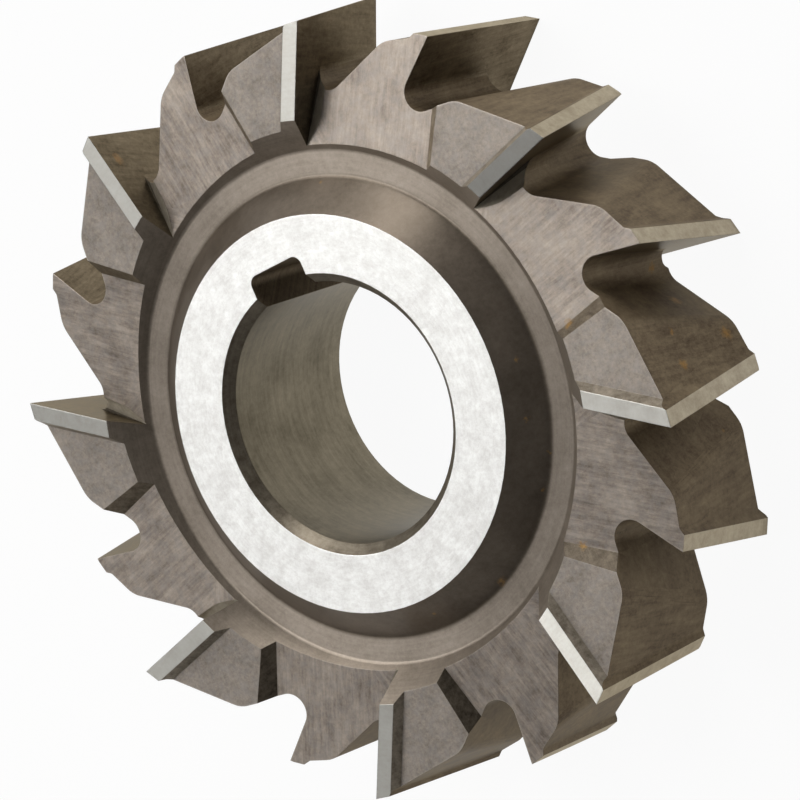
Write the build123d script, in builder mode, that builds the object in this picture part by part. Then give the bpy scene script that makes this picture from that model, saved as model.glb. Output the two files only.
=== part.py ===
from build123d import *
import os
from math import cos, radians, sin, sqrt, tan

# Staggered-tooth side and face milling cutter, ground from one piece of high speed steel.
# It lies flat with its axis on Z: the back face is on Z = 0 and the front face on Z = cutter_width.
# Seen from the front it cuts clockwise, so every cutting face looks clockwise.
# Every other tooth cuts on the front corner. Those between them cut on the back corner, with
# the opposite helix. Lengths are millimetres and angles are degrees.

# Blank, as it is turned
cutter_diameter = 80.0
cutter_width = 20.0
bore_diameter = 27.0
bore_chamfer = 1.0
hub_diameter = 41.0
recess_depth = 3.2
recess_inner_wall_width = 3.3
recess_floor_width = 2.7
recess_outer_wall_width = 3.5
recess_corner_radius = 0.6

# Keyway for the arbor's key, measured from its floor to the far side of the bore
keyway_width = 7.0
keyway_over_bore = 29.8
keyway_corner_radius = 1.0

# Teeth, and the gullet in front of each
teeth_per_side = 8
helix_angle = 7.7
rake_angle = 9.0
gullet_angle = 44.0
gullet_depth = 7.5
root_radius = 1.9

# Ground land at the cutting edge, and the flat that falls away behind it
land_width = 1.75
land_clearance = 13.0
land_step = 0.4
land_step_angle = 60.0
land_foot_radius = 0.6
back_clearance = 28.0
ridge_radius = 3.0

# Side land of a tooth on the face where it cuts, and the lower heel behind it
side_land_width = 1.75
heel_depth = 0.95
heel_wall_angle = 32.0
heel_fall = 2.6

# Pocket that sinks the side of a tooth on the face where it doesn't cut
pocket_direction = 35.5
pocket_foot_offset = 8.2
pocket_wall_angle = 45.0
pocket_depth = 2.2
pocket_depth_radius = 26.8
pocket_fall = 5.3
pocket_tilt = 1.9

# Gash that carries a side cutting edge in to the recess
gash_start_radius = 27.3
gash_start_depth = 2.85
gash_fall = 16.7
gash_floor_width = 1.5
gash_floor_angle = 25.0
gash_side_angle = 57.0
gash_corner_radius = 1.2

# How far the outline of each cut runs past the metal
overrun = 3.0

# Edges this near a worked-out line lie on it
same_place = 0.1

# Directions and places that follow from the sizes above
outer_radius = cutter_diameter / 2
bore_radius = bore_diameter / 2
pitch_angle = 180.0 / teeth_per_side
rake_sine = sin(radians(rake_angle))
rake_cosine = cos(radians(rake_angle))
helix_slope = tan(radians(helix_angle))
recess_floor_inner_radius = hub_diameter / 2 + recess_inner_wall_width
recess_floor_outer_radius = recess_floor_inner_radius + recess_floor_width
recess_middle_radius = (recess_floor_inner_radius + recess_floor_outer_radius) / 2
recess_mouth_radius = recess_floor_outer_radius + recess_outer_wall_width
next_tooth = Location((0, 0, 0), (0, 0, 2 * pitch_angle))
middle_plane = Plane((0, 0, cutter_width / 2))


def on_rake(distance, behind=0.0):
    """Point on the line of the cutting face, inwards from the tip, or that far behind the line."""
    x = outer_radius - distance * rake_cosine + behind * rake_sine
    y = distance * rake_sine + behind * rake_cosine
    return (x, y)


# The root circle touches the cutting face, and its bottom lies gullet_depth below the tips
start_x, start_y = on_rake(0, -root_radius)
start_inwards = start_x * rake_cosine - start_y * rake_sine
root_centre_radius = outer_radius - gullet_depth + root_radius
root_distance = start_inwards - sqrt(
    start_inwards**2 - start_x**2 - start_y**2 + root_centre_radius**2
)
corner_x, corner_y = on_rake(root_distance + root_radius / tan(radians(gullet_angle / 2)))
flank_angle = radians(gullet_angle + rake_angle)
flank_length = (gullet_depth + overrun) / cos(flank_angle)

# Where the cutting face meets the root circle, halfway across the width
rake_foot_x, rake_foot_y = on_rake(root_distance)
rake_foot_radius = sqrt(rake_foot_x**2 + (rake_foot_y + cutter_width / 2 * helix_slope) ** 2)

# Land, step and flat behind it. The flat ends short of the next tooth on the face where that is nearest
land_end_x = outer_radius - land_width * sin(radians(land_clearance))
land_end_y = land_width * cos(radians(land_clearance))
step_length = land_step / sin(radians(land_step_angle - back_clearance))
foot_x = land_end_x - step_length * sin(radians(land_step_angle))
foot_y = land_end_y + step_length * cos(radians(land_step_angle))
nearest_angle = radians(pitch_angle) - cutter_width * helix_slope / outer_radius
back_reach = outer_radius * sin(nearest_angle) - gullet_depth * sin(
    nearest_angle - radians(rake_angle)
)
back_end_x = foot_x - (back_reach - foot_y) * tan(radians(back_clearance))

# Gullets and tooth backs are drawn above the front face and swept down along the helix
cut_top = Plane((0, -overrun * helix_slope, cutter_width + overrun))
cut_length = (cutter_width + 2 * overrun) / cos(radians(helix_angle))
cut_direction = Vector(0, helix_slope, -1)


def swept_edge(cut, corner, direction):
    """The edge that a corner of a cut's section draws as the section is swept in that direction."""
    swept = cut.edges().filter_by(
        lambda edge: (edge % 0).cross(direction.normalized()).length < 1e-6
    )
    return swept.sort_by_distance(corner)[0]


with BuildPart() as gullet:
    with BuildSketch(cut_top):
        with BuildLine():
            Polyline(
                on_rake(-overrun),
                (corner_x, corner_y),
                (
                    corner_x + flank_length * cos(flank_angle),
                    corner_y - flank_length * sin(flank_angle),
                ),
                (outer_radius + overrun, -gullet_depth),
                close=True,
            )
        make_face()
    extrude(amount=cut_length, dir=cut_direction)
    root_corner = cut_top.from_local_coords(Vector(corner_x, corner_y))
    fillet(swept_edge(gullet.part, root_corner, cut_direction), root_radius)

with BuildPart() as tooth_back:
    with BuildSketch(cut_top):
        with BuildLine():
            Polyline(
                on_rake(-overrun),
                (outer_radius, 0),
                (land_end_x, land_end_y),
                (foot_x, foot_y),
                (back_end_x, back_reach),
                (outer_radius + overrun, back_reach),
                close=True,
            )
        make_face()
    extrude(amount=cut_length, dir=cut_direction)
    foot_corner = cut_top.from_local_coords(Vector(foot_x, foot_y))
    fillet(swept_edge(tooth_back.part, foot_corner, cut_direction), land_foot_radius)

# Everything behind a cutting face, kept when the pocket beside it is milled
with BuildPart() as behind_rake:
    with BuildSketch(cut_top):
        with BuildLine():
            Polyline(
                on_rake(-2 * overrun),
                on_rake(outer_radius),
                on_rake(outer_radius, outer_radius),
                on_rake(-2 * overrun, outer_radius),
                close=True,
            )
        make_face()
    extrude(amount=cut_length, dir=cut_direction)

# The heel is milled beside the side land, from the middle of the recess out past the tip
heel_distance = (outer_radius - recess_middle_radius) / rake_cosine
heel_foot = side_land_width + heel_depth * tan(radians(heel_wall_angle))
heel_end = heel_foot + back_reach
heel_start_x, heel_start_y = on_rake(heel_distance)
with BuildPart() as heel:
    heel_plane = Plane(
        (heel_start_x, heel_start_y, cutter_width),
        x_dir=(rake_sine, rake_cosine, 0),
        z_dir=(rake_cosine, -rake_sine, 0),
    )
    with BuildSketch(heel_plane):
        with BuildLine():
            Polyline(
                (side_land_width - overrun * tan(radians(heel_wall_angle)), overrun),
                (heel_foot, -heel_depth),
                (heel_end, -heel_depth - back_reach * tan(radians(heel_fall))),
                (heel_end, overrun),
                close=True,
            )
        make_face()
    extrude(amount=heel_distance + overrun)

# The pocket runs outwards from the middle of the recess, as far across as the next cutting face
pocket_azimuth = radians(pocket_direction)
pocket_slope = tan(radians(pocket_fall))
pocket_start_depth = pocket_depth - (pocket_depth_radius - recess_middle_radius) * pocket_slope
pocket_wall_run = (pocket_start_depth + overrun) * tan(radians(pocket_wall_angle))
pocket_across = outer_radius * sin(radians(2 * pitch_angle) - pocket_azimuth) + overrun
pocket_far_depth = pocket_start_depth + (pocket_foot_offset + pocket_across) * tan(
    radians(pocket_tilt)
)
with BuildPart() as pocket:
    pocket_plane = Plane(
        (
            recess_middle_radius * cos(pocket_azimuth),
            recess_middle_radius * sin(pocket_azimuth),
            cutter_width,
        ),
        x_dir=(-sin(pocket_azimuth), cos(pocket_azimuth), 0),
        z_dir=(cos(pocket_azimuth), sin(pocket_azimuth), 0),
    )
    with BuildSketch(pocket_plane):
        with BuildLine():
            Polyline(
                (-pocket_foot_offset - pocket_wall_run, overrun),
                (-pocket_foot_offset, -pocket_start_depth),
                (pocket_across, -pocket_far_depth),
                (pocket_across, overrun),
                close=True,
            )
        make_face()
    extrude(
        amount=outer_radius - recess_middle_radius + overrun,
        dir=(cos(pocket_azimuth), sin(pocket_azimuth), -pocket_slope),
    )
    with Locations(next_tooth):
        add(behind_rake.part, mode=Mode.SUBTRACT)

# The gash is a groove with one side on the cutting face, and it deepens outwards to the gullet
gash_slope = tan(radians(gash_fall))
gash_depth = gash_start_depth - (gash_start_radius - recess_middle_radius) * gash_slope
gash_bottom = gash_depth * helix_slope * rake_cosine
gash_floor_rise = gash_floor_width * tan(radians(gash_floor_angle))
gash_corner = (gash_bottom - gash_floor_width, gash_floor_rise - gash_depth)
gash_side_run = (overrun + gash_depth - gash_floor_rise) / tan(radians(gash_side_angle))
gash_length = (outer_radius - gullet_depth / 2 - recess_middle_radius) / rake_cosine
gash_direction = Vector(rake_cosine, gash_slope * helix_slope - rake_sine, -gash_slope)
with BuildPart() as gash:
    gash_plane = Plane(
        (heel_start_x, heel_start_y, cutter_width),
        x_dir=(rake_sine, rake_cosine, 0),
        z_dir=(rake_cosine, -rake_sine, 0),
    )
    with BuildSketch(gash_plane):
        with BuildLine():
            Polyline(
                (gash_bottom, -gash_depth),
                (-overrun * helix_slope * rake_cosine, overrun),
                (gash_corner[0] - gash_side_run, overrun),
                gash_corner,
                close=True,
            )
        make_face()
    extrude(amount=gash_length * gash_direction.length, dir=gash_direction)
    floor_corner = gash_plane.from_local_coords(Vector(gash_corner))
    fillet(swept_edge(gash.part, floor_corner, gash_direction), gash_corner_radius)

with BuildPart() as side_and_face_cutter:
    # Turned blank
    with BuildSketch(Plane.XZ):
        with BuildLine():
            half_section = [
                (bore_radius, bore_chamfer),
                (bore_radius + bore_chamfer, 0),
                (hub_diameter / 2, 0),
                (recess_floor_inner_radius, recess_depth),
                (recess_floor_outer_radius, recess_depth),
                (recess_mouth_radius, 0),
                (outer_radius, 0),
            ]
            Polyline(
                half_section + [(x, cutter_width - z) for x, z in reversed(half_section)],
                close=True,
            )
        section = make_face()
        recess_corners = section.vertices().filter_by(
            lambda corner: hub_diameter / 2 < corner.X < recess_mouth_radius
        )
        fillet(recess_corners, recess_corner_radius)
    revolve(axis=Axis.Z)

    # Gullets and tooth backs. The back-cutting teeth mirror the others and stand midway between them
    for cut in (gullet, tooth_back):
        with PolarLocations(0, teeth_per_side, start_angle=pitch_angle):
            add(cut.part, mode=Mode.SUBTRACT)
        with PolarLocations(0, teeth_per_side, start_angle=2 * pitch_angle):
            add(cut.part.mirror(middle_plane), mode=Mode.SUBTRACT)

    # Each gullet's far side is rounded over into the flat behind the next tooth's land
    ridges = []
    for edge in edges():
        middle = edge.position_at(0.5)
        middle_radius = sqrt(middle.X**2 + middle.Y**2)
        full_width = edge.bounding_box().size.Z > cutter_width / 2
        past_root = middle_radius > rake_foot_radius + same_place
        if full_width and past_root and middle_radius < foot_x - land_foot_radius:
            ridges.append(edge)
    fillet(ridges, ridge_radius)

    # Heels, pockets and gashes, on the front face and in mirror image on the back face
    for cut in (heel, pocket, gash):
        with PolarLocations(0, teeth_per_side, start_angle=pitch_angle):
            add(cut.part, mode=Mode.SUBTRACT)
        with PolarLocations(0, teeth_per_side, start_angle=2 * pitch_angle):
            add(cut.part.mirror(middle_plane), mode=Mode.SUBTRACT)

    # Keyway on +Y
    with BuildSketch():
        Rectangle(
            keyway_width,
            keyway_over_bore - bore_radius,
            align=(Align.CENTER, Align.MIN),
        )
        floor_corners = vertices().group_by(Axis.Y)[-1]
        fillet(floor_corners, keyway_corner_radius)
    extrude(amount=cutter_width, mode=Mode.SUBTRACT)

side_and_face_cutter.part.label = "side_and_face_cutter"
os.makedirs("parts", exist_ok=True)
export_step(side_and_face_cutter.part, "parts/side_and_face_cutter.step")
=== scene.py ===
import math

import bpy
import numpy as np
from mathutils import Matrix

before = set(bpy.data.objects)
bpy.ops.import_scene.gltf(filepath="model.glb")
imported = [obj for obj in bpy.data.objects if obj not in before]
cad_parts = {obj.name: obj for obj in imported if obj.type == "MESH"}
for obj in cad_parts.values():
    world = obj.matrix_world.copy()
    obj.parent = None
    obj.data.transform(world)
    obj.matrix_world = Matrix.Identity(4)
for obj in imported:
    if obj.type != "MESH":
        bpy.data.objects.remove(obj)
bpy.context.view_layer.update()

# Cutter. One ring of high speed steel, turned and milled, hardened, tempered to a dull brown skin
# and then ground bright where it has to be true: both hub faces, the bore and the lands behind the
# cutting edges. Its surfaces are told apart by place and slope, so that each gets its own finish.
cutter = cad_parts["side_and_face_cutter"]
mesh = cutter.data
MM = 1000.0
# Its sizes in mm and degrees.
CUTTER_WIDTH = 20.0
TIP_RADIUS = 40.0
HUB_RADIUS = 20.5
BORE_RADIUS = 13.5
KEYWAY_HALF_WIDTH = 3.5
TOOTH_STEP = 45.0
RAKE_ANGLE = 9.0
# Radius and depth of the corners of the turned recess, from the hub's rim to the feet of the teeth.
RECESS_PROFILE = ((20.5, 0.0), (23.8, 3.2), (26.5, 3.2), (30.0, 0.0))
# Where its surfaces end, in mm and degrees: how far the keyway runs up Y and out from the axis, how
# wide the mouth of the bore is, where the lands lie and lean, how far the cutting face turns along
# the helix, and how far the gash and the heel's wall lie from the cutting edges.
KEYWAY_REACH = (12.5, 17.5)
MOUTH_REACH = 1.3
LAND_INNER_RADIUS = 39.0
LAND_LEANS = (-3.0, 19.0)
RAKE_SPREAD = 15.0
GASH_BEHIND_EDGE = 0.05
GASH_BEFORE_EDGE = 5.0
HEEL_WALL_REACH = 3.0
# How level each surface lies, as the cosine of its tilt.
FLAT_TILT = 0.999
HEEL_TILT = 0.9975
POCKET_TILT = 0.98
MOUTH_TILTS = (0.6, 0.8)
STEEP_TILT = 0.2
# How far a triangle may lie off the true surface, in mm, because curves are drawn with flats.
FLAT_TOLERANCE = 0.02
PROFILE_TOLERANCE = 0.06
KEYWAY_TOLERANCE = 0.1
BORE_TOLERANCE = 0.15

place = np.array([v.co for v in mesh.vertices]) * MM
corners = place[np.array([p.vertices[:] for p in mesh.polygons])]
centre = corners.mean(axis=1)
normal = np.array([n.vector for n in mesh.corner_normals]).reshape(-1, 3, 3).mean(axis=1)
normal /= np.linalg.norm(normal, axis=1, keepdims=True)
radius = np.hypot(centre[:, 0], centre[:, 1])
azimuth = np.degrees(np.arctan2(centre[:, 1], centre[:, 0]))
on_front = centre[:, 2] > CUTTER_WIDTH / 2
depth = np.where(on_front, CUTTER_WIDTH - centre[:, 2], centre[:, 2])

# How far each corner of a triangle lies from the profile of the recess.
corner_radius = np.hypot(corners[:, :, 0], corners[:, :, 1])
corner_depth = np.where(on_front[:, None], CUTTER_WIDTH - corners[:, :, 2], corners[:, :, 2])
off_profile = np.full(corner_radius.shape, np.inf)
for (r0, d0), (r1, d1) in zip(RECESS_PROFILE, RECESS_PROFILE[1:]):
    length_squared = (r1 - r0) ** 2 + (d1 - d0) ** 2
    reach = ((corner_radius - r0) * (r1 - r0) + (corner_depth - d0) * (d1 - d0)) / length_squared
    reach = np.clip(reach, 0, 1)
    gap = np.hypot(corner_radius - r0 - reach * (r1 - r0), corner_depth - d0 - reach * (d1 - d0))
    off_profile = np.minimum(off_profile, gap)

# How squarely each triangle faces along the axis, outwards, and round the cutter.
upright = np.abs(normal[:, 2])
outwards = (normal[:, 0] * centre[:, 0] + normal[:, 1] * centre[:, 1]) / radius
around = (normal[:, 1] * centre[:, 0] - normal[:, 0] * centre[:, 1]) / radius
lean = np.degrees(np.arctan2(around, outwards))

# The teeth that cut on the front stand half a step round from those that cut on the back.
first_tooth = np.where(on_front, TOOTH_STEP / 2, 0.0)
tooth_azimuth = np.floor((azimuth - first_tooth) / TOOTH_STEP) * TOOTH_STEP + first_tooth


def behind_edge(edge_azimuth):
    """How far each triangle lies behind the cutting edge that stands at that azimuth, in mm."""
    turn = np.radians(azimuth - edge_azimuth)
    rake = math.radians(RAKE_ANGLE)
    return (radius * np.cos(turn) - TIP_RADIUS) * math.sin(rake) + radius * np.sin(turn) * math.cos(rake)


level = (upright > FLAT_TILT) & (depth < FLAT_TOLERANCE)
steep = upright < STEEP_TILT
is_keyway = steep & (np.abs(centre[:, 0]) < KEYWAY_HALF_WIDTH + KEYWAY_TOLERANCE)
is_keyway &= (centre[:, 1] > KEYWAY_REACH[0]) & (radius < KEYWAY_REACH[1])
is_bore = steep & (np.abs(radius - BORE_RADIUS) < BORE_TOLERANCE)
is_mouth = (radius > BORE_RADIUS) & (radius < BORE_RADIUS + MOUTH_REACH)
is_mouth &= (upright > MOUTH_TILTS[0]) & (upright < MOUTH_TILTS[1])
is_hub = level & (radius < HUB_RADIUS)
is_recess = (off_profile < PROFILE_TOLERANCE).all(axis=1) & ~level
is_turned = is_keyway | is_bore | is_mouth | is_hub | is_recess
is_side_land = level & ~is_turned
is_heel = (upright > HEEL_TILT) & ~level & ~is_turned
is_pocket = (upright > POCKET_TILT) & (upright <= HEEL_TILT) & ~is_turned
is_wall = (upright >= STEEP_TILT) & (upright <= POCKET_TILT) & ~is_turned
before_next_edge = behind_edge(tooth_azimuth + TOOTH_STEP) > -GASH_BEFORE_EDGE
is_gash = is_wall & ((behind_edge(tooth_azimuth) < GASH_BEHIND_EDGE) | before_next_edge)
is_heel_wall = is_wall & ~is_gash & (behind_edge(tooth_azimuth) < HEEL_WALL_REACH)
is_pocket_wall = is_wall & ~is_gash & ~is_heel_wall
is_land = steep & ~is_turned & (radius > LAND_INNER_RADIUS)
is_land &= (lean > LAND_LEANS[0]) & (lean < LAND_LEANS[1])
is_gullet = steep & ~is_turned & ~is_land
is_rake = is_gullet & (np.abs(lean + 90 + RAKE_ANGLE) < RAKE_SPREAD)

# Painted reflection and light, tooth by tooth. Each side land's brightness stands in for how its ground
# marks reflect the lamps, so some are white and some are as grey as the heel, and each pocket's wall is
# painted lighter or darker by how it faces them. Each tooth of the front has the azimuth of its edge,
# and the painted brightness of its side land and of its pocket's wall. Those of the back are all alike.
TOOTH_LIGHT_TONES = (
    (67.5, 0.56, 2.0),
    (22.5, 0.2, 2.6),
    (-22.5, 0.56, 1.5),
    (-67.5, 1.0, 0.9),
    (-112.5, 0.41, 0.8),
    (-157.5, 0.48, 1.0),
    (157.5, 0.38, 1.2),
    (112.5, 0.47, 1.2),
)
BACK_LIGHT_TONE = 0.5
LAND_HALF_ANGLE = 10.0
painted_light_tone = np.full(len(mesh.polygons), BACK_LIGHT_TONE)
for edge_azimuth, land_reflection_tone, wall_light_tone in TOOTH_LIGHT_TONES:
    painted_light_tone[is_side_land & on_front & (np.abs(azimuth - edge_azimuth) < LAND_HALF_ANGLE)] = land_reflection_tone
    painted_light_tone[is_pocket_wall & (np.abs(tooth_azimuth - edge_azimuth) < 1)] = wall_light_tone
mesh.attributes.new("painted_light_tone", "FLOAT", "FACE").data.foreach_set("value", painted_light_tone.astype(np.float32))


# Marks of the tools. Each surface carries a flat map in millimetres, whose u runs round the axis on
# what was turned, outwards along the cutting edge or the mill's path on the sides of the teeth, and
# over the width of the cutter in the gullets and on the rim. Its v runs across that.
def map_marks(faces, along, across):
    """Gives the corners of those triangles their place along u and along v."""
    marks[faces, :, 0] = along
    marks[faces, :, 1] = across


# The mill left a pocket at this angle to the cutting edge. Each tooth's marks start elsewhere in the
# pattern, by this much for each degree round the cutter.
POCKET_DIRECTION = 35.5
SHIFT_PER_DEGREE = 3.0
marks = np.zeros((len(mesh.polygons), 3, 2))
corner_azimuth = np.arctan2(corners[:, :, 1], corners[:, :, 0])
corner_azimuth += np.round((np.radians(azimuth)[:, None] - corner_azimuth) / (2 * np.pi)) * 2 * np.pi
arc = corner_azimuth * radius[:, None]
map_marks(is_turned, arc[is_turned], (corner_radius + corners[:, :, 2])[is_turned])
feed_azimuth = np.radians(tooth_azimuth + np.where(is_pocket, POCKET_DIRECTION, 0.0))[:, None]
feed = corners[:, :, 0] * np.cos(feed_azimuth) + corners[:, :, 1] * np.sin(feed_azimuth)
stepover = corners[:, :, 1] * np.cos(feed_azimuth) - corners[:, :, 0] * np.sin(feed_azimuth)
apart = tooth_azimuth[:, None] * SHIFT_PER_DEGREE
is_side = is_side_land | is_heel | is_pocket | is_wall
map_marks(is_side, (feed + apart)[is_side], (stepover + apart)[is_side])
is_round = is_land | is_gullet
map_marks(is_round, corners[:, :, 2][is_round], (arc + corner_radius)[is_round])
mesh.uv_layers.new(name="tool_marks").data.foreach_set("uv", marks.reshape(-1).astype(np.float32))


# Finishes. All are the same bare steel, whose colour changes with the last tool that touched it and
# with the brown skin that tempering left. Colours are as they look in even light.
def linear(code):
    """Turns an sRGB hex colour to the linear colour that a shader takes."""
    values = [int(code[i:i + 2], 16) / 255 for i in (1, 3, 5)]
    return [v / 12.92 if v <= 0.04045 else ((v + 0.055) / 1.055) ** 2.4 for v in values] + [1.0]


def add_node(tree, kind, inputs, **settings):
    """Adds a node with its settings. Each input is a value, a socket, or a node's first output."""
    made = tree.nodes.new(kind)
    for name, value in settings.items():
        setattr(made, name, value)
    for socket, value in inputs.items():
        if isinstance(value, bpy.types.Node):
            value = value.outputs[0]
        if isinstance(value, bpy.types.NodeSocket):
            tree.links.new(value, made.inputs[socket])
        else:
            made.inputs[socket].default_value = value
    return made


# The colour sockets of a Mix node, whose names it also gives to its other sockets.
COLOUR_A = 6
COLOUR_B = 7
MIXED = 2

# Rust, orange on the steel. Small points lie in one of five cells of a loose grid, 4 mm apart, and
# the larger, ragged spots have their own places on the front: x, y, z and radius in mm.
RUST_DARK = "#5E3D12"
RUST_LIGHT = "#BC9250"
RUST_CELL = 4.0
RUST_CELLS_LEFT_OUT = 0.8
RUST_POINT = (0.07, 0.03)
RUST_POINT_COVER = 0.6
RUST_SPOT_COVER = 0.8
RUST_SPOT_CORE = 0.2
RAGGED_SCALE = 2.6
RAGGED_WIDTH = 1.3
RUST_SPOTS = (
    (29.3, -1.9, 17.9, 0.7),
    (34.7, -3.6, 7.4, 0.8),
    (19.9, -22.1, 17.6, 0.6),
    (-14.8, 33.8, 17.5, 0.9),
    (-14.0, 32.4, 16.4, 0.6),
    (22.0, -2.8, 18.3, 0.3),
    (20.4, -8.4, 18.5, 0.3),
    (17.7, -15.4, 17.1, 0.3),
    (20.2, -12.4, 16.9, 0.25),
    (8.4, -22.0, 17.0, 0.6),
    (36.9, -10.0, 13.7, 0.7),
    (37.3, -8.6, 5.3, 0.9),
    (36.6, -6.6, 12.9, 0.4),
    (32.6, 0.4, 5.9, 0.6),
)


def rust_cover(tree, in_mm, points):
    """How much of the steel is rust: the larger spots, and the small points where they are wanted."""
    cells = add_node(tree, "ShaderNodeTexVoronoi", {"Vector": in_mm, "Scale": 1 / RUST_CELL})
    drawn = add_node(tree, "ShaderNodeSeparateColor", {0: cells.outputs["Color"]})
    chosen = add_node(tree, "ShaderNodeMath", {0: drawn, 1: RUST_CELLS_LEFT_OUT}, operation="GREATER_THAN")
    point = add_node(tree, "ShaderNodeMapRange", {
        "Value": cells.outputs["Distance"], "From Min": RUST_POINT[0], "From Max": RUST_POINT[1],
        "To Max": RUST_POINT_COVER})
    cover = add_node(tree, "ShaderNodeMath", {0: point, 1: chosen if points else 0.0}, operation="MULTIPLY")
    noise = add_node(tree, "ShaderNodeTexNoise", {"Vector": in_mm, "Scale": RAGGED_SCALE, "Detail": 4.0})
    off_place = add_node(tree, "ShaderNodeVectorMath", {0: noise.outputs["Color"], 1: (0.5, 0.5, 0.5)},
                         operation="SUBTRACT")
    ragged = add_node(tree, "ShaderNodeVectorMath", {0: off_place, 1: (RAGGED_WIDTH,) * 3, 2: in_mm},
                      operation="MULTIPLY_ADD")
    for x, y, z, size in RUST_SPOTS:
        away = add_node(tree, "ShaderNodeVectorMath", {0: ragged, 1: (x, y, z)}, operation="DISTANCE")
        cover = add_node(tree, "ShaderNodeMapRange", {
            "Value": away.outputs["Value"], "From Min": size, "From Max": size * RUST_SPOT_CORE,
            "To Min": cover, "To Max": RUST_SPOT_COVER})
    return cover


# The floor of the recess runs into its two walls by small fillets. Each has the radius where it
# begins and ends, and the sine of the profile's slope there.
INNER_FILLET = ((23.63, 0.696), (24.04, 0.0))
OUTER_FILLET = ((26.27, 0.0), (26.67, 0.673))


def recess_normal(tree, in_mm, off_axis, from_axis):
    """The turned profile's own normal, so that light runs evenly round its fillets."""
    slopes = [add_node(tree, "ShaderNodeMapRange", {
        "Value": from_axis, "From Min": begin[0], "From Max": end[0], "To Min": begin[1], "To Max": end[1]})
        for begin, end in (INNER_FILLET, OUTER_FILLET)]
    slope = add_node(tree, "ShaderNodeMath", {0: slopes[0], 1: slopes[1]}, operation="SUBTRACT")
    squared = add_node(tree, "ShaderNodeMath", {0: slope, 1: slope}, operation="MULTIPLY")
    rest = add_node(tree, "ShaderNodeMath", {0: 1.0, 1: squared}, operation="SUBTRACT")
    along_axis = add_node(tree, "ShaderNodeMath", {0: rest}, operation="SQRT")
    height = add_node(tree, "ShaderNodeSeparateXYZ", {0: in_mm}).outputs["Z"]
    above_middle = add_node(tree, "ShaderNodeMath", {0: height, 1: CUTTER_WIDTH / 2}, operation="SUBTRACT")
    side = add_node(tree, "ShaderNodeMath", {0: above_middle}, operation="SIGN")
    upward = add_node(tree, "ShaderNodeMath", {0: along_axis, 1: side}, operation="MULTIPLY")
    straight_up = add_node(tree, "ShaderNodeCombineXYZ", {"Z": upward})
    straight_out = add_node(tree, "ShaderNodeVectorMath", {0: off_axis}, operation="NORMALIZE")
    return add_node(tree, "ShaderNodeVectorMath", {0: straight_out, 1: slope, 2: straight_up},
                    operation="MULTIPLY_ADD")


# The brown skin has a weak, yellowish sheen of its own, which shows where a finish has less than
# this share of bare metal.
SKIN_METAL = 0.75
SKIN_SHEEN = "#C9BDA3"
SKIN_SHEEN_LEVEL = 0.25
# Painted shade reaches 1.2 mm out of a corner, and a painted highlight runs 0.3 mm wide along the edges.
# The pairs give how open the place is where the painted shade is full and gone, and where the painted
# highlight begins and is full.
CORNER_REACH = 0.0012
CORNER_SHADE_SPAN = (0.4, 0.85)
EDGE_HIGHLIGHT_WIDTH = 0.0003
EDGE_HIGHLIGHT_SPAN = (0.75, 0.35)
# Height of the noise where a bluish patch begins and is full, and half the width in mm over which
# the painted shade of the recess's walls runs into the floor.
PATCH_HEIGHTS = (0.42, 0.62)
WALL_SHADE_BLEND = 0.2
# How far the roughness goes up and down with the shade, and the depth of the marks in metres.
ROUGHNESS_SPREAD = 0.06
RELIEF_STRENGTH = 0.3
RELIEF_DEPTH = 0.00002
# The shine is drawn out across the marks, a quarter turn from the map's u.
QUARTER_TURN = 0.25


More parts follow.
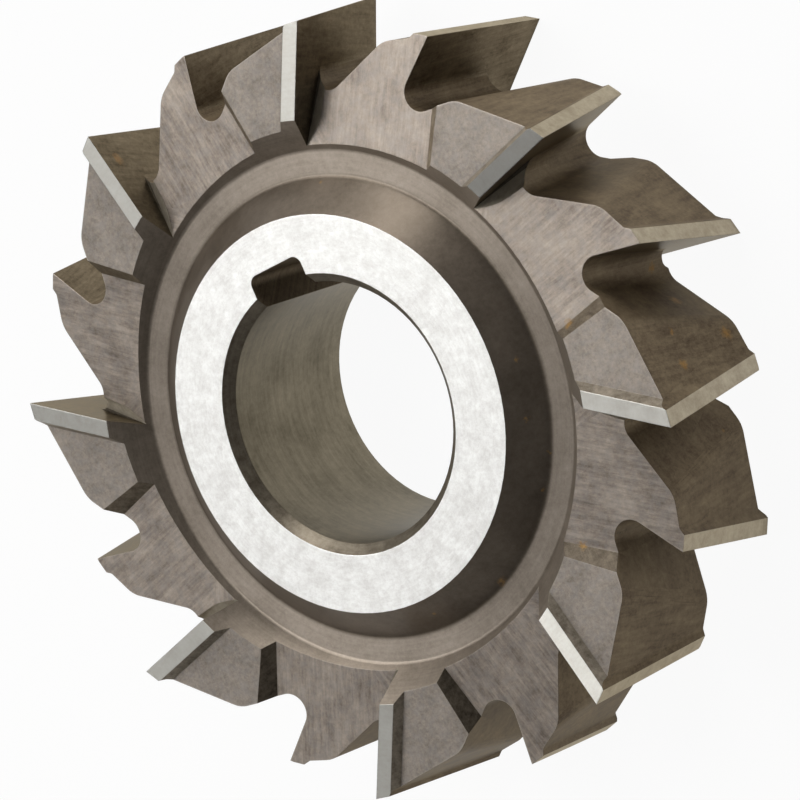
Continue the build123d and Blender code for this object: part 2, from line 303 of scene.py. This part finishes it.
def steel_finish(name, dark, light, brush, clouds, grains, roughness, metal=1.0, corner_shade=0.45, points=True,
                 edge_highlight=None, tint=None, turned=0.0, shaded_recess_walls=None, painted_by_tooth=False, rounding=0.00015):
    """Steel that ranges from a dark to a light colour.

    brush: the size of its tool marks along u and along v, and their share. clouds, grains: the size
    and share of its slow and fine changes. metal: how much of it shines as bare metal does. corner_shade:
    how dark the painted shade makes its corners. points: whether it has small points of rust.
    edge_highlight: the colour of the painted highlight along its edges. tint: colour, size and share of
    bluish patches. turned: how far its shine is drawn out across the marks. shaded_recess_walls: for
    each wall the radius where it begins, 1 if it lies inside that radius and 0 if outside, and the
    colour of its painted shade. painted_by_tooth: whether its brightness is scaled by the tooth's
    painted light tone. rounding: radius of its edges in metres. Other sizes are in mm.
    """
    material = bpy.data.materials.new(name)
    material.use_nodes = True
    tree = material.node_tree
    tree.nodes.clear()
    spot = add_node(tree, "ShaderNodeTexCoord", {}).outputs["Object"]
    in_mm = add_node(tree, "ShaderNodeVectorMath", {0: spot, 1: (MM, MM, MM)}, operation="MULTIPLY")

    # Tool marks, clouds and grains together give a shade, from 0, the dark colour, to 1, the light.
    flat_map = add_node(tree, "ShaderNodeUVMap", {}, uv_map="tool_marks")
    stretched = add_node(tree, "ShaderNodeMapping", {
        "Vector": flat_map, "Scale": (1 / brush[0], 1 / brush[1], 1)})
    mark_noise = add_node(tree, "ShaderNodeTexNoise", {
        "Vector": stretched, "Scale": 1.0, "Detail": 4.0, "Roughness": 0.7})
    cloud_noise = add_node(tree, "ShaderNodeTexNoise", {
        "Vector": in_mm, "Scale": 1 / clouds[0], "Detail": 3.0, "Roughness": 0.5})
    grain_noise = add_node(tree, "ShaderNodeTexNoise", {
        "Vector": in_mm, "Scale": 1 / grains[0], "Detail": 4.0, "Roughness": 0.85})
    shade = 0.5
    for noise, share in ((mark_noise, brush[2]), (cloud_noise, clouds[1]), (grain_noise, grains[1])):
        off_middle = add_node(tree, "ShaderNodeMath", {0: noise, 1: 0.5}, operation="SUBTRACT")
        shade = add_node(tree, "ShaderNodeMath", {0: off_middle, 1: share, 2: shade},
                         operation="MULTIPLY_ADD")
    colour = add_node(tree, "ShaderNodeMix", {
        "Factor": shade, COLOUR_A: linear(dark), COLOUR_B: linear(light)}, data_type="RGBA").outputs[MIXED]
    if tint:
        tint_colour, tint_size, tint_share = tint
        patches = add_node(tree, "ShaderNodeTexNoise", {
            "Vector": in_mm, "Scale": 1 / tint_size, "Detail": 3.0, "Roughness": 0.6})
        patch_share = add_node(tree, "ShaderNodeMapRange", {
            "Value": patches, "From Min": PATCH_HEIGHTS[0], "From Max": PATCH_HEIGHTS[1],
            "To Max": tint_share})
        colour = add_node(tree, "ShaderNodeMix", {
            "Factor": patch_share, COLOUR_A: colour, COLOUR_B: linear(tint_colour)},
            data_type="RGBA").outputs[MIXED]
    # Painted shade: each wall of the recess is multiplied by a darker colour than its floor.
    if shaded_recess_walls:
        off_axis = add_node(tree, "ShaderNodeVectorMath", {0: in_mm, 1: (1.0, 1.0, 0.0)},
                            operation="MULTIPLY")
        from_axis = add_node(tree, "ShaderNodeVectorMath", {0: off_axis}, operation="LENGTH")
        from_axis = from_axis.outputs["Value"]
        for wall_radius, inside, wall_shade_colour in shaded_recess_walls:
            wall_shade = add_node(tree, "ShaderNodeMapRange", {
                "Value": from_axis, "From Min": wall_radius - WALL_SHADE_BLEND,
                "From Max": wall_radius + WALL_SHADE_BLEND, "To Min": inside, "To Max": 1.0 - inside})
            colour = add_node(tree, "ShaderNodeMix", {
                "Factor": wall_shade, COLOUR_A: colour, COLOUR_B: linear(wall_shade_colour)},
                data_type="RGBA", blend_type="MULTIPLY").outputs[MIXED]
    # Painted light: the colour is scaled by the tooth's painted light tone.
    if painted_by_tooth:
        tooth_light_tone = add_node(tree, "ShaderNodeAttribute", {}, attribute_name="painted_light_tone").outputs["Fac"]
        colour = add_node(tree, "ShaderNodeVectorMath", {0: colour, "Scale": tooth_light_tone}, operation="SCALE")

    # Rust lies on the steel, the corners get painted shade, and the sharp edges get a painted highlight.
    rust = rust_cover(tree, in_mm, points)
    rust_colour = add_node(tree, "ShaderNodeMix", {
        "Factor": grain_noise, COLOUR_A: linear(RUST_DARK), COLOUR_B: linear(RUST_LIGHT)},
        data_type="RGBA").outputs[MIXED]
    colour = add_node(tree, "ShaderNodeMix", {
        "Factor": rust, COLOUR_A: colour, COLOUR_B: rust_colour}, data_type="RGBA").outputs[MIXED]
    # Painted shade: ambient occlusion darkens the colour within 1.2 mm of a corner.
    openness = add_node(tree, "ShaderNodeAmbientOcclusion", {"Distance": CORNER_REACH}, samples=4)
    unshaded_share = add_node(tree, "ShaderNodeMapRange", {
        "Value": openness.outputs["AO"], "From Min": CORNER_SHADE_SPAN[0], "From Max": CORNER_SHADE_SPAN[1],
        "To Min": 1.0 - corner_shade, "To Max": 1.0})
    colour = add_node(tree, "ShaderNodeVectorMath", {0: colour, "Scale": unshaded_share}, operation="SCALE")
    # Painted highlight: sharp convex edges, found by ambient occlusion inside the steel, are mixed towards
    # a light colour.
    if edge_highlight:
        within = add_node(tree, "ShaderNodeAmbientOcclusion", {"Distance": EDGE_HIGHLIGHT_WIDTH},
                          inside=True, samples=6)
        edge_lit = add_node(tree, "ShaderNodeMapRange", {
            "Value": within.outputs["AO"], "From Min": EDGE_HIGHLIGHT_SPAN[0], "From Max": EDGE_HIGHLIGHT_SPAN[1]})
        colour = add_node(tree, "ShaderNodeMix", {
            "Factor": edge_lit, COLOUR_A: colour, COLOUR_B: linear(edge_highlight)}, data_type="RGBA").outputs[MIXED]

    # The shade also gives the marks a slight relief, and makes the light places a little duller.
    rounded = add_node(tree, "ShaderNodeBevel", {"Radius": rounding}, samples=4)
    if shaded_recess_walls:
        rounded = recess_normal(tree, in_mm, off_axis, from_axis)
    relief = add_node(tree, "ShaderNodeBump", {
        "Height": shade, "Strength": RELIEF_STRENGTH, "Distance": RELIEF_DEPTH, "Normal": rounded})
    dullness = add_node(tree, "ShaderNodeMapRange", {
        "Value": shade, "To Min": roughness - ROUGHNESS_SPREAD, "To Max": roughness + ROUGHNESS_SPREAD})
    free_of_rust = add_node(tree, "ShaderNodeMath", {0: 1.0, 1: rust}, operation="SUBTRACT")
    metallic = add_node(tree, "ShaderNodeMath", {0: free_of_rust, 1: metal}, operation="MULTIPLY")
    surface = {"Base Color": colour, "Metallic": metallic, "Roughness": dullness, "Normal": relief}
    if turned:
        grain = add_node(tree, "ShaderNodeTangent", {}, direction_type="UV_MAP", uv_map="tool_marks")
        surface.update({"Tangent": grain, "Anisotropic": turned, "Anisotropic Rotation": QUARTER_TURN})
    if metal < SKIN_METAL:
        surface.update({"Specular IOR Level": SKIN_SHEEN_LEVEL, "Specular Tint": linear(SKIN_SHEEN)})
    steel = add_node(tree, "ShaderNodeBsdfPrincipled", surface)
    add_node(tree, "ShaderNodeOutputMaterial", {"Surface": steel})
    return material


# Each finish with the triangles that it covers. A grinding wheel's scratches are about 0.02 mm wide,
# a mill's marks 0.1 mm and the grains of blasting 0.1 mm, all too fine to show, so the marks are
# drawn 0.3 to 1 mm wide and the grains 0.5 to 1 mm.
finishes = (
    # Tempered steel, milled: the gullets, the backs of the teeth and the keyway are dull and brown,
    # with a skin that scatters more light than it mirrors.
    (is_gullet & ~is_rake | is_keyway, steel_finish(
        "tempered_gullet", "#433529", "#84755E", brush=(6.0, 0.6, 1.4),
        clouds=(5.0, 1.0), grains=(0.6, 1.3), roughness=0.5, metal=0.4)),
    # Tempered steel that had been ground along the gullet: the cutting faces are smoother than the
    # backs of the teeth, and shine a little.
    (is_rake, steel_finish(
        "ground_rake", "#473C2E", "#8B7E69", brush=(6.0, 0.5, 1.4),
        clouds=(5.0, 1.0), grains=(0.6, 1.3), roughness=0.36, metal=0.6)),
    # Tempered steel, cut by the flank of the mill: the walls of the pockets are dark and dull, with painted
    # light and shade by the tooth.
    (is_pocket_wall, steel_finish(
        "milled_pocket_wall", "#423A31", "#7C7264", brush=(3.0, 0.4, 1.0),
        clouds=(3.0, 0.8), grains=(1.0, 2.0), roughness=0.5, metal=0.7, painted_by_tooth=True)),
    # Tempered steel, milled: the walls beside the side lands are pale brown, with hardly any shine.
    (is_heel_wall, steel_finish(
        "tempered_heel_wall", "#655C50", "#9F9586", brush=(2.0, 0.4, 1.0),
        clouds=(2.0, 0.6), grains=(1.0, 2.0), roughness=0.5, metal=0.2)),
    # Steel ground last by the edge of the wheel: the gashes are paler, and lightened further by painted
    # light against the shade of their deep corners, with no painted corner shade.
    (is_gash, steel_finish(
        "ground_gash", "#918879", "#BAB2A2", brush=(0.5, 0.3, 0.8),
        clouds=(2.0, 0.6), grains=(1.0, 1.5), roughness=0.5, metal=0.2, corner_shade=0.0)),
    # Tempered steel, turned: the rings of the tool draw the shine of the recess out across them, and
    # its walls are darkened by painted shade, the inner wall more than the outer.
    (is_recess, steel_finish(
        "turned_recess", "#776D61", "#A4998D", brush=(9.0, 0.4, 0.8),
        clouds=(4.0, 0.8), grains=(0.7, 1.2), roughness=0.42, metal=0.75, turned=0.45,
        shaded_recess_walls=((24.0, 1.0, "#C2BEB8"), (26.5, 0.0, "#F4F2EE")), rounding=0.0002)),
    # Tempered steel, turned: the mouth of the bore is a brown ring.
    (is_mouth, steel_finish(
        "turned_mouth", "#5A5143", "#887F70", brush=(9.0, 0.5, 1.0),
        clouds=(4.0, 0.6), grains=(1.0, 1.8), roughness=0.42, metal=0.75, turned=0.45)),
    # Ground steel, stained by oil: the bore has grey-brown streaks round its wall.
    (is_bore, steel_finish(
        "ground_bore", "#575040", "#8C8370", brush=(7.0, 0.6, 1.2),
        clouds=(6.0, 1.4), grains=(0.8, 1.2), roughness=0.42, turned=0.3)),
    # Surface ground steel: the hub faces are nearly white and satin, with a faint cloudiness.
    (is_hub, steel_finish(
        "ground_hub", "#E7E5E1", "#FFFFFC", brush=(1.6, 0.3, 1.4),
        clouds=(1.6, 1.3), grains=(0.7, 2.2), roughness=0.42, metal=0.8, points=False)),
    # Tempered steel, milled outwards: the pockets have fine straight lines, bluish patches and a
    # painted highlight along their edges.
    (is_pocket, steel_finish(
        "milled_pocket", "#675D55", "#B1A598", brush=(4.0, 0.5, 1.5),
        clouds=(3.5, 1.2), grains=(0.6, 1.1), roughness=0.45, metal=0.8, edge_highlight="#B7ADA0",
        tint=("#8A8785", 0.9, 0.3))),
    # Tempered steel, milled and blasted: the heels are matt, with a grey and bluish speckle and a painted
    # highlight along their edges.
    (is_heel, steel_finish(
        "blasted_heel", "#6A625A", "#ACA297", brush=(1.0, 0.5, 0.3),
        clouds=(3.0, 0.9), grains=(0.5, 1.5), roughness=0.5, edge_highlight="#C9C0B5", tint=("#8B8988", 0.9, 0.3))),
    # Ground steel: the side lands are bright, with scratches across the cutting edge, and each has
    # a painted reflection of its own, brighter or greyer by the tooth.
    (is_side_land, steel_finish(
        "ground_side_land", "#EFEAE0", "#FFFEF6", brush=(0.3, 1.6, 1.2),
        clouds=(2.0, 0.8), grains=(0.5, 1.4), roughness=0.38, painted_by_tooth=True, points=False)),
    # Ground steel, gone dull: the lands round the rim are grey with a green cast.
    (is_land, steel_finish(
        "ground_land", "#938876", "#BBB19D", brush=(1.0, 2.5, 0.8),
        clouds=(2.5, 0.9), grains=(1.0, 1.8), roughness=0.4, metal=0.7)),
)
mesh.materials.clear()
finish_number = np.zeros(len(mesh.polygons), np.int32)
for number, (faces, material) in enumerate(finishes):
    mesh.materials.append(material)
    finish_number[faces] = number
mesh.polygons.foreach_set("material_index", finish_number)
mesh.update()

# Floor. The cutter lies on a plain sheet of white paper, 0.02 mm below it so that they don't touch.
# To the camera and in the steel the paper is nearly all white, with a little of its real shade left
# so that it keeps the cutter's shadow.
FLOOR_HALF = 1.5
FLOOR_DROP = 0.00002
PAPER_COLOUR = "#F4F4F2"
WHITE_SHARE = 0.94
square = ((-1, -1), (1, -1), (1, 1), (-1, 1))
floor_corners = [(x * FLOOR_HALF, y * FLOOR_HALF, -FLOOR_DROP) for x, y in square]
floor_mesh = bpy.data.meshes.new("studio_floor")
floor_mesh.from_pydata(floor_corners, [], [(0, 1, 2, 3)])
floor = bpy.data.objects.new("studio_floor", floor_mesh)
bpy.context.scene.collection.objects.link(floor)
paper = bpy.data.materials.new("white_paper")
paper.use_nodes = True
tree = paper.node_tree
tree.nodes.clear()
rays = add_node(tree, "ShaderNodeLightPath", {}).outputs
seen = 0.0
for kind_of_ray in ("Is Camera Ray", "Is Glossy Ray", "Is Transmission Ray"):
    seen = add_node(tree, "ShaderNodeMath", {0: seen, 1: rays[kind_of_ray]}, operation="MAXIMUM")
share = add_node(tree, "ShaderNodeMath", {0: seen, 1: WHITE_SHARE}, operation="MULTIPLY")
lit = add_node(tree, "ShaderNodeBsdfDiffuse", {"Color": linear(PAPER_COLOUR)})
white = add_node(tree, "ShaderNodeEmission", {"Color": linear("#FFFFFF"), "Strength": 1.0})
both = add_node(tree, "ShaderNodeMixShader", {0: share, 1: lit, 2: white})
add_node(tree, "ShaderNodeOutputMaterial", {"Surface": both})
floor_mesh.materials.append(paper)

# Room. Its walls are white near the floor and dim overhead, so that steel that faces sideways has
# something pale to mirror. The heights are sines of the angle above the floor.
WHITE_BELOW = 0.08
DIM_ABOVE = 0.2
DIM_LEVEL = 0.14
room = bpy.data.worlds.new("pale_room")
bpy.context.scene.world = room
room.use_nodes = True
tree = room.node_tree
tree.nodes.clear()
towards = add_node(tree, "ShaderNodeTexCoord", {}).outputs["Generated"]
height = add_node(tree, "ShaderNodeSeparateXYZ", {0: towards}).outputs["Z"]
wall = add_node(tree, "ShaderNodeMapRange", {
    "Value": height, "From Min": WHITE_BELOW, "From Max": DIM_ABOVE, "To Min": 1.0, "To Max": DIM_LEVEL})
sky = add_node(tree, "ShaderNodeBackground", {"Color": linear("#FFFFFF"), "Strength": wall})
add_node(tree, "ShaderNodeOutputWorld", {"Surface": sky})

# Softboxes. Four round ones stand 1.2 m away: a high one to the left of the keyway, two lower ones
# behind it and a weak one further left. Each has its azimuth and height in degrees, its width in
# metres and its power in watts.
LAMP_DISTANCE = 1.2
for name, lamp_azimuth, lamp_height, width, power in (
    ("key_softbox", 135.0, 56.0, 0.65, 5.35),
    ("back_softbox", 72.0, 14.0, 0.5, 5.6),
    ("top_softbox", 105.0, 34.0, 0.65, 3.6),
    ("left_softbox", 195.0, 34.0, 0.65, 1.7),
):
    lamp_data = bpy.data.lights.new(name, "AREA")
    lamp_data.shape = "DISK"
    lamp_data.size = width
    lamp_data.energy = power
    lamp = bpy.data.objects.new(name, lamp_data)
    bpy.context.scene.collection.objects.link(lamp)
    turn = math.radians(lamp_azimuth)
    lift = math.radians(lamp_height)
    direction = (math.cos(lift) * math.cos(turn), math.cos(lift) * math.sin(turn), math.sin(lift))
    lamp.location = [LAMP_DISTANCE * part for part in direction]
    lamp.rotation_euler = lamp.location.to_track_quat("Z", "Y").to_euler()

# Camera: 0.58 m from the cutter with a long lens, 38 degrees off its axis, turned so that the
# keyway stands at the upper left. Its place is in metres and its angles are in degrees.
CAMERA_PLACE = (0.352343, -0.031772, 0.464806)
CAMERA_ANGLES = (-14.6351, 35.3004, -29.3558)
camera_data = bpy.data.cameras.new("camera")
camera_data.lens = 254.5
camera_data.sensor_width = 36.0
camera_data.clip_start = 0.01
camera = bpy.data.objects.new("camera", camera_data)
camera.location = CAMERA_PLACE
camera.rotation_euler = [math.radians(angle) for angle in CAMERA_ANGLES]
bpy.context.scene.collection.objects.link(camera)
bpy.context.scene.camera = camera
bpy.context.scene.view_settings.view_transform = "Standard"
